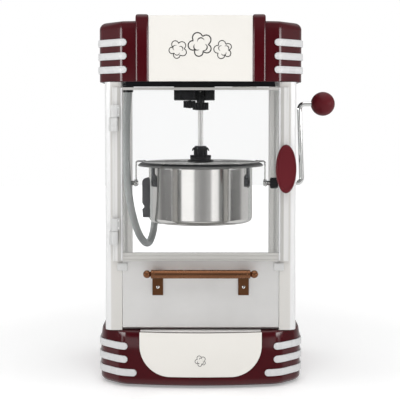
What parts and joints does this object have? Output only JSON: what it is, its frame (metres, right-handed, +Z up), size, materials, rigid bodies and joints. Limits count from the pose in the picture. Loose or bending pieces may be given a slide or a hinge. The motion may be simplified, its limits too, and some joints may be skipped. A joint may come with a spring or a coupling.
{
  "type": "popcorn maker",
  "caption": "Table-top kettle popcorn maker: clear cabinet on a bowed base, tilting pot under a motor head, side crank, hinged glass door and drop-down front flap.",
  "frame": {"origin": "centre of the round pad pressed into the base plate's underside, on the cabinet's middle plane", "axes": "+Z up, -Y towards the front with the door, +X towards the crank"},
  "size_m": [0.3311, 0.2673, 0.494],
  "materials": {
    "maroon_shell": "high gloss maroon moulding",
    "cream_panel": "satin cream sheet",
    "white_trim": "gloss white moulding",
    "post_paint": "light silver paint",
    "clear_pane": "clear",
    "satin_steel": "satin",
    "polished_steel": "polished",
    "dark_steel": "dark satin",
    "black_plastic": "moulded black",
    "copper_trim": "aged copper plating",
    "rubber_foot": "matt",
    "lead_sleeve": "grey sleeve",
    "lamp_lens": "frosted"
  },
  "bodies": {
    "cabinet": {"base_shell": "maroon_shell", "head_shell": "maroon_shell", "base_front_panel": "cream_panel", "head_front_panel": "cream_panel", "base_grille_left": "white_trim", "base_grille_right": "white_trim", "head_grille_left": "white_trim", "head_grille_right": "white_trim", "hinge_post_lower": "white_trim", "hinge_post_upper": "white_trim", "post_front_left": "post_paint", "post_front_right": "post_paint", "post_rear_left": "post_paint", "post_rear_right": "post_paint", "side_glass_left": "clear_pane", "side_glass_right": "clear_pane", "rear_glass": "clear_pane", "kernel_tray": "satin_steel", "drive_motor": "satin_steel", "pivot_bush_left": "satin_steel", "base_plate": "dark_steel", "head_underside_plate": "black_plastic", "gear_housing": "black_plastic", "lead_gland": "black_plastic", "mains_gland": "black_plastic", "pivot_bush_right": "black_plastic", "foot_front_left": "rubber_foot", "foot_front_right": "rubber_foot", "foot_rear_left": "rubber_foot", "foot_rear_right": "rubber_foot", "kettle_lead": "lead_sleeve", "lamp_lens": "lamp_lens"},
    "door": {"door_frame": "post_paint", "door_glass": "clear_pane", "door_knob": "maroon_shell", "hinge_door_lower": "white_trim", "hinge_door_upper": "white_trim"},
    "flap": {"flap_panel": "satin_steel", "flap_rod": "polished_steel", "handle_bar": "copper_trim", "handle_bracket_left": "copper_trim", "handle_bracket_right": "copper_trim", "flap_tab_left": "white_trim", "flap_tab_right": "white_trim"},
    "kettle": {"kettle_pot": "polished_steel", "heater_cover": "dark_steel", "kettle_rim": "dark_steel", "drive_hub": "black_plastic", "hanger_left": "polished_steel", "hanger_right": "polished_steel", "kettle_connector": "black_plastic", "crank_rod": "polished_steel", "crank_knob": "maroon_shell"},
    "lid_front": {"lid_flap_front": "polished_steel"},
    "lid_rear": {"lid_flap_rear": "polished_steel"},
    "stirrer": {"stirrer_shaft": "polished_steel", "shaft_gear": "black_plastic"},
    "motor_drive": {"motor_gear": "black_plastic"},
    "light_switch": {"light_rocker": "black_plastic"},
    "kettle_switch": {"kettle_rocker": "black_plastic"}
  },
  "joints": [
    {"name": "door_swing", "type": "hinge", "parent": "cabinet", "child": "door", "pos_m": [-0.1135, -0.124, 0.1645], "axis": [0, 0, -1], "range_deg": [0, 110]},
    {"name": "flap_tilt", "type": "hinge", "parent": "cabinet", "child": "flap", "pos_m": [0, -0.1072, 0.0762], "axis": [1, 0, 0], "range_deg": [0, 40]},
    {"name": "kettle_tilt", "type": "hinge", "parent": "cabinet", "child": "kettle", "pos_m": [0, 0.012, 0.26], "axis": [1, 0, 0], "range_deg": [0, 75], "deforming": ["kettle_lead"]},
    {"name": "lid_front_swing", "type": "hinge", "parent": "kettle", "child": "lid_front", "pos_m": [0, -0.0027, 0.2909], "axis": [-1, 0, 0], "range_deg": [0, 75]},
    {"name": "lid_rear_swing", "type": "hinge", "parent": "kettle", "child": "lid_rear", "pos_m": [0, 0.0267, 0.2909], "axis": [1, 0, 0], "range_deg": [0, 75]},
    {"name": "stirrer_spin", "type": "hinge", "parent": "kettle", "child": "stirrer", "pos_m": [0, 0.012, 0.2842], "axis": [0, 0, 1], "continuous": true},
    {"name": "motor_spin", "type": "hinge", "parent": "cabinet", "child": "motor_drive", "pos_m": [-0.0159, 0.02086, 0.3687], "axis": [0, 0, 1], "continuous": true},
    {"name": "light_rocker_tilt", "type": "hinge", "parent": "cabinet", "child": "light_switch", "pos_m": [0.07, 0.1165, 0.45], "axis": [1, 0, 0], "range_deg": [-8, 8]},
    {"name": "kettle_rocker_tilt", "type": "hinge", "parent": "cabinet", "child": "kettle_switch", "pos_m": [0.095, 0.1165, 0.45], "axis": [1, 0, 0], "range_deg": [-8, 8]}
  ],
  "couplings": [
    {"joint": "motor_spin", "follows": "stirrer_spin", "ratio": -1.3333}
  ]
}
